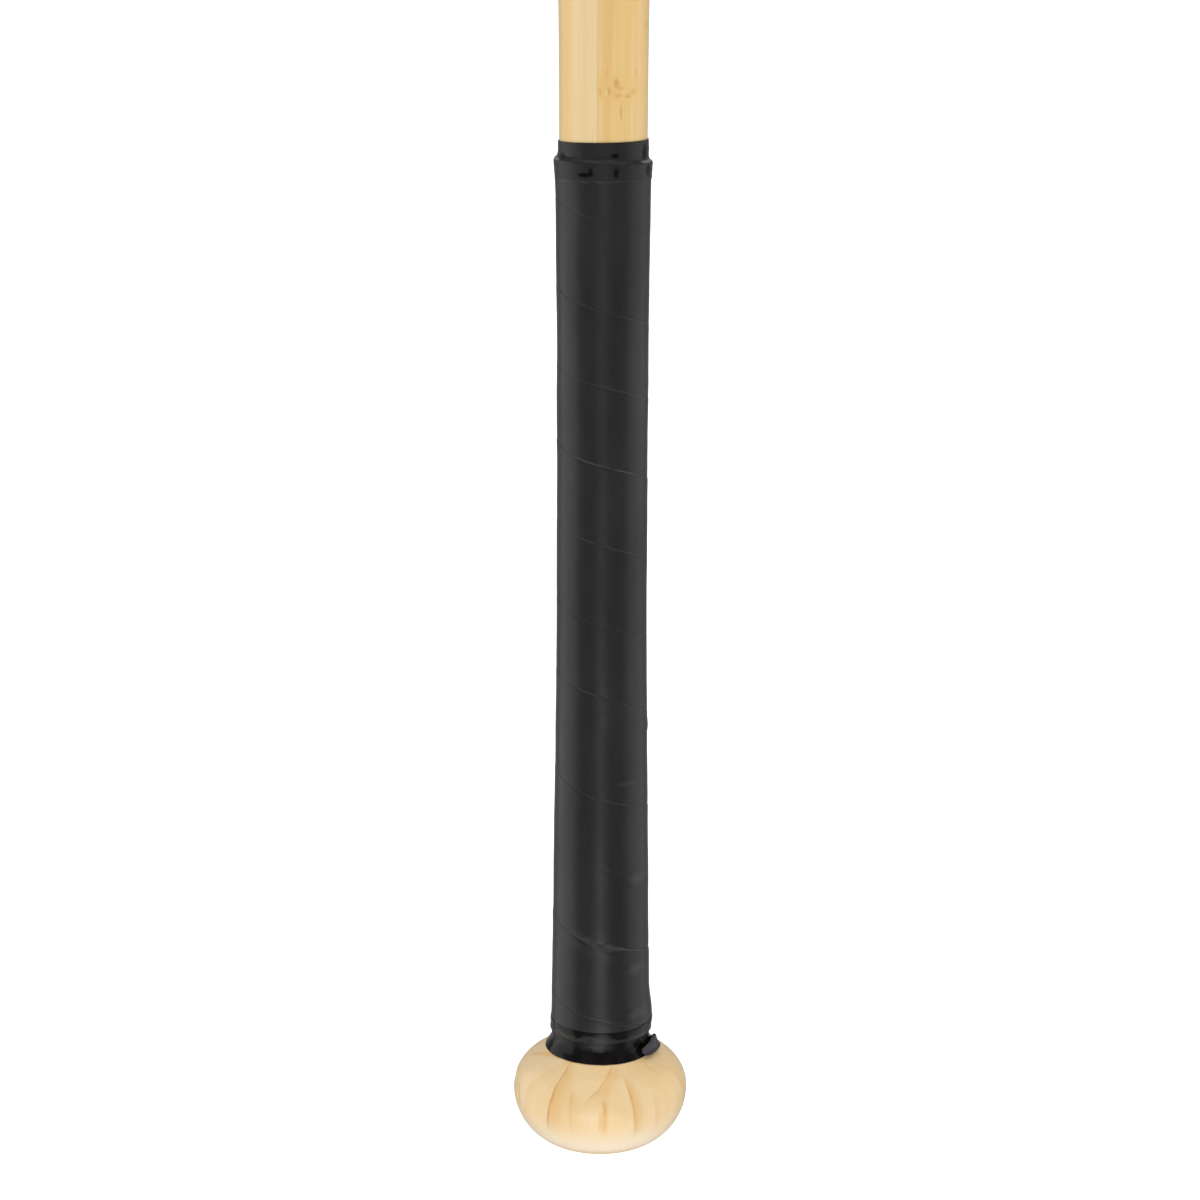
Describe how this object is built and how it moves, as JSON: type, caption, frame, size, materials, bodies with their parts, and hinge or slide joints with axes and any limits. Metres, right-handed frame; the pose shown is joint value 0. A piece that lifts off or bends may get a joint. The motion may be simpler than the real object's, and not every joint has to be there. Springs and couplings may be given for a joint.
{
  "type": "baseball bat",
  "caption": "Wooden baseball bat turned from glued bamboo strips, with a round knob, a black spiral-wrapped grip and black finishing tape at both ends of the wrap.",
  "frame": {"origin": "centre of the knob's flat end face", "axes": "+Z along the bat from the knob to the barrel's tip; -Y is the front, within 4 degrees of square to the glued layers; +X to the right seen from the front"},
  "size_m": [0.0636, 0.0636, 0.838],
  "materials": {
    "bamboo": "clear satin lacquer over pale bamboo",
    "grip_tape": "matte black cushioned wrap",
    "finish_tape": "glossy black vinyl tape"
  },
  "bodies": {
    "root": {"knob_strip_1a": "bamboo", "barrel_strip_1a": "bamboo", "barrel_strip_1b": "bamboo", "barrel_strip_1c": "bamboo", "knob_strip_2a": "bamboo", "knob_strip_2b": "bamboo", "barrel_strip_2a": "bamboo", "barrel_strip_2b": "bamboo", "barrel_strip_2c": "bamboo", "knob_strip_3a": "bamboo", "knob_strip_3b": "bamboo", "knob_strip_3c": "bamboo", "barrel_strip_3a": "bamboo", "barrel_strip_3b": "bamboo", "barrel_strip_3c": "bamboo", "core_strip_4a": "bamboo", "core_strip_4b": "bamboo", "knob_strip_4a": "bamboo", "barrel_strip_4a": "bamboo", "barrel_strip_4b": "bamboo", "core_strip_5a": "bamboo", "core_strip_5b": "bamboo", "knob_strip_5a": "bamboo", "barrel_strip_5a": "bamboo", "core_strip_6a": "bamboo", "core_strip_6b": "bamboo", "knob_strip_6a": "bamboo", "barrel_strip_6a": "bamboo", "barrel_strip_6b": "bamboo", "core_strip_7a": "bamboo", "core_strip_7b": "bamboo", "knob_strip_7a": "bamboo", "barrel_strip_7a": "bamboo", "knob_strip_8a": "bamboo", "knob_strip_8b": "bamboo", "barrel_strip_8a": "bamboo", "barrel_strip_8b": "bamboo", "barrel_strip_8c": "bamboo", "barrel_strip_8d": "bamboo", "knob_strip_9a": "bamboo", "knob_strip_9b": "bamboo", "barrel_strip_9a": "bamboo", "barrel_strip_9b": "bamboo", "barrel_strip_9c": "bamboo", "knob_strip_10a": "bamboo", "knob_strip_10b": "bamboo", "barrel_strip_10a": "bamboo", "barrel_strip_10b": "bamboo", "grip_wrap": "grip_tape", "top_finish_tape": "finish_tape", "bottom_finish_tape": "finish_tape"}
  },
  "joints": []
}
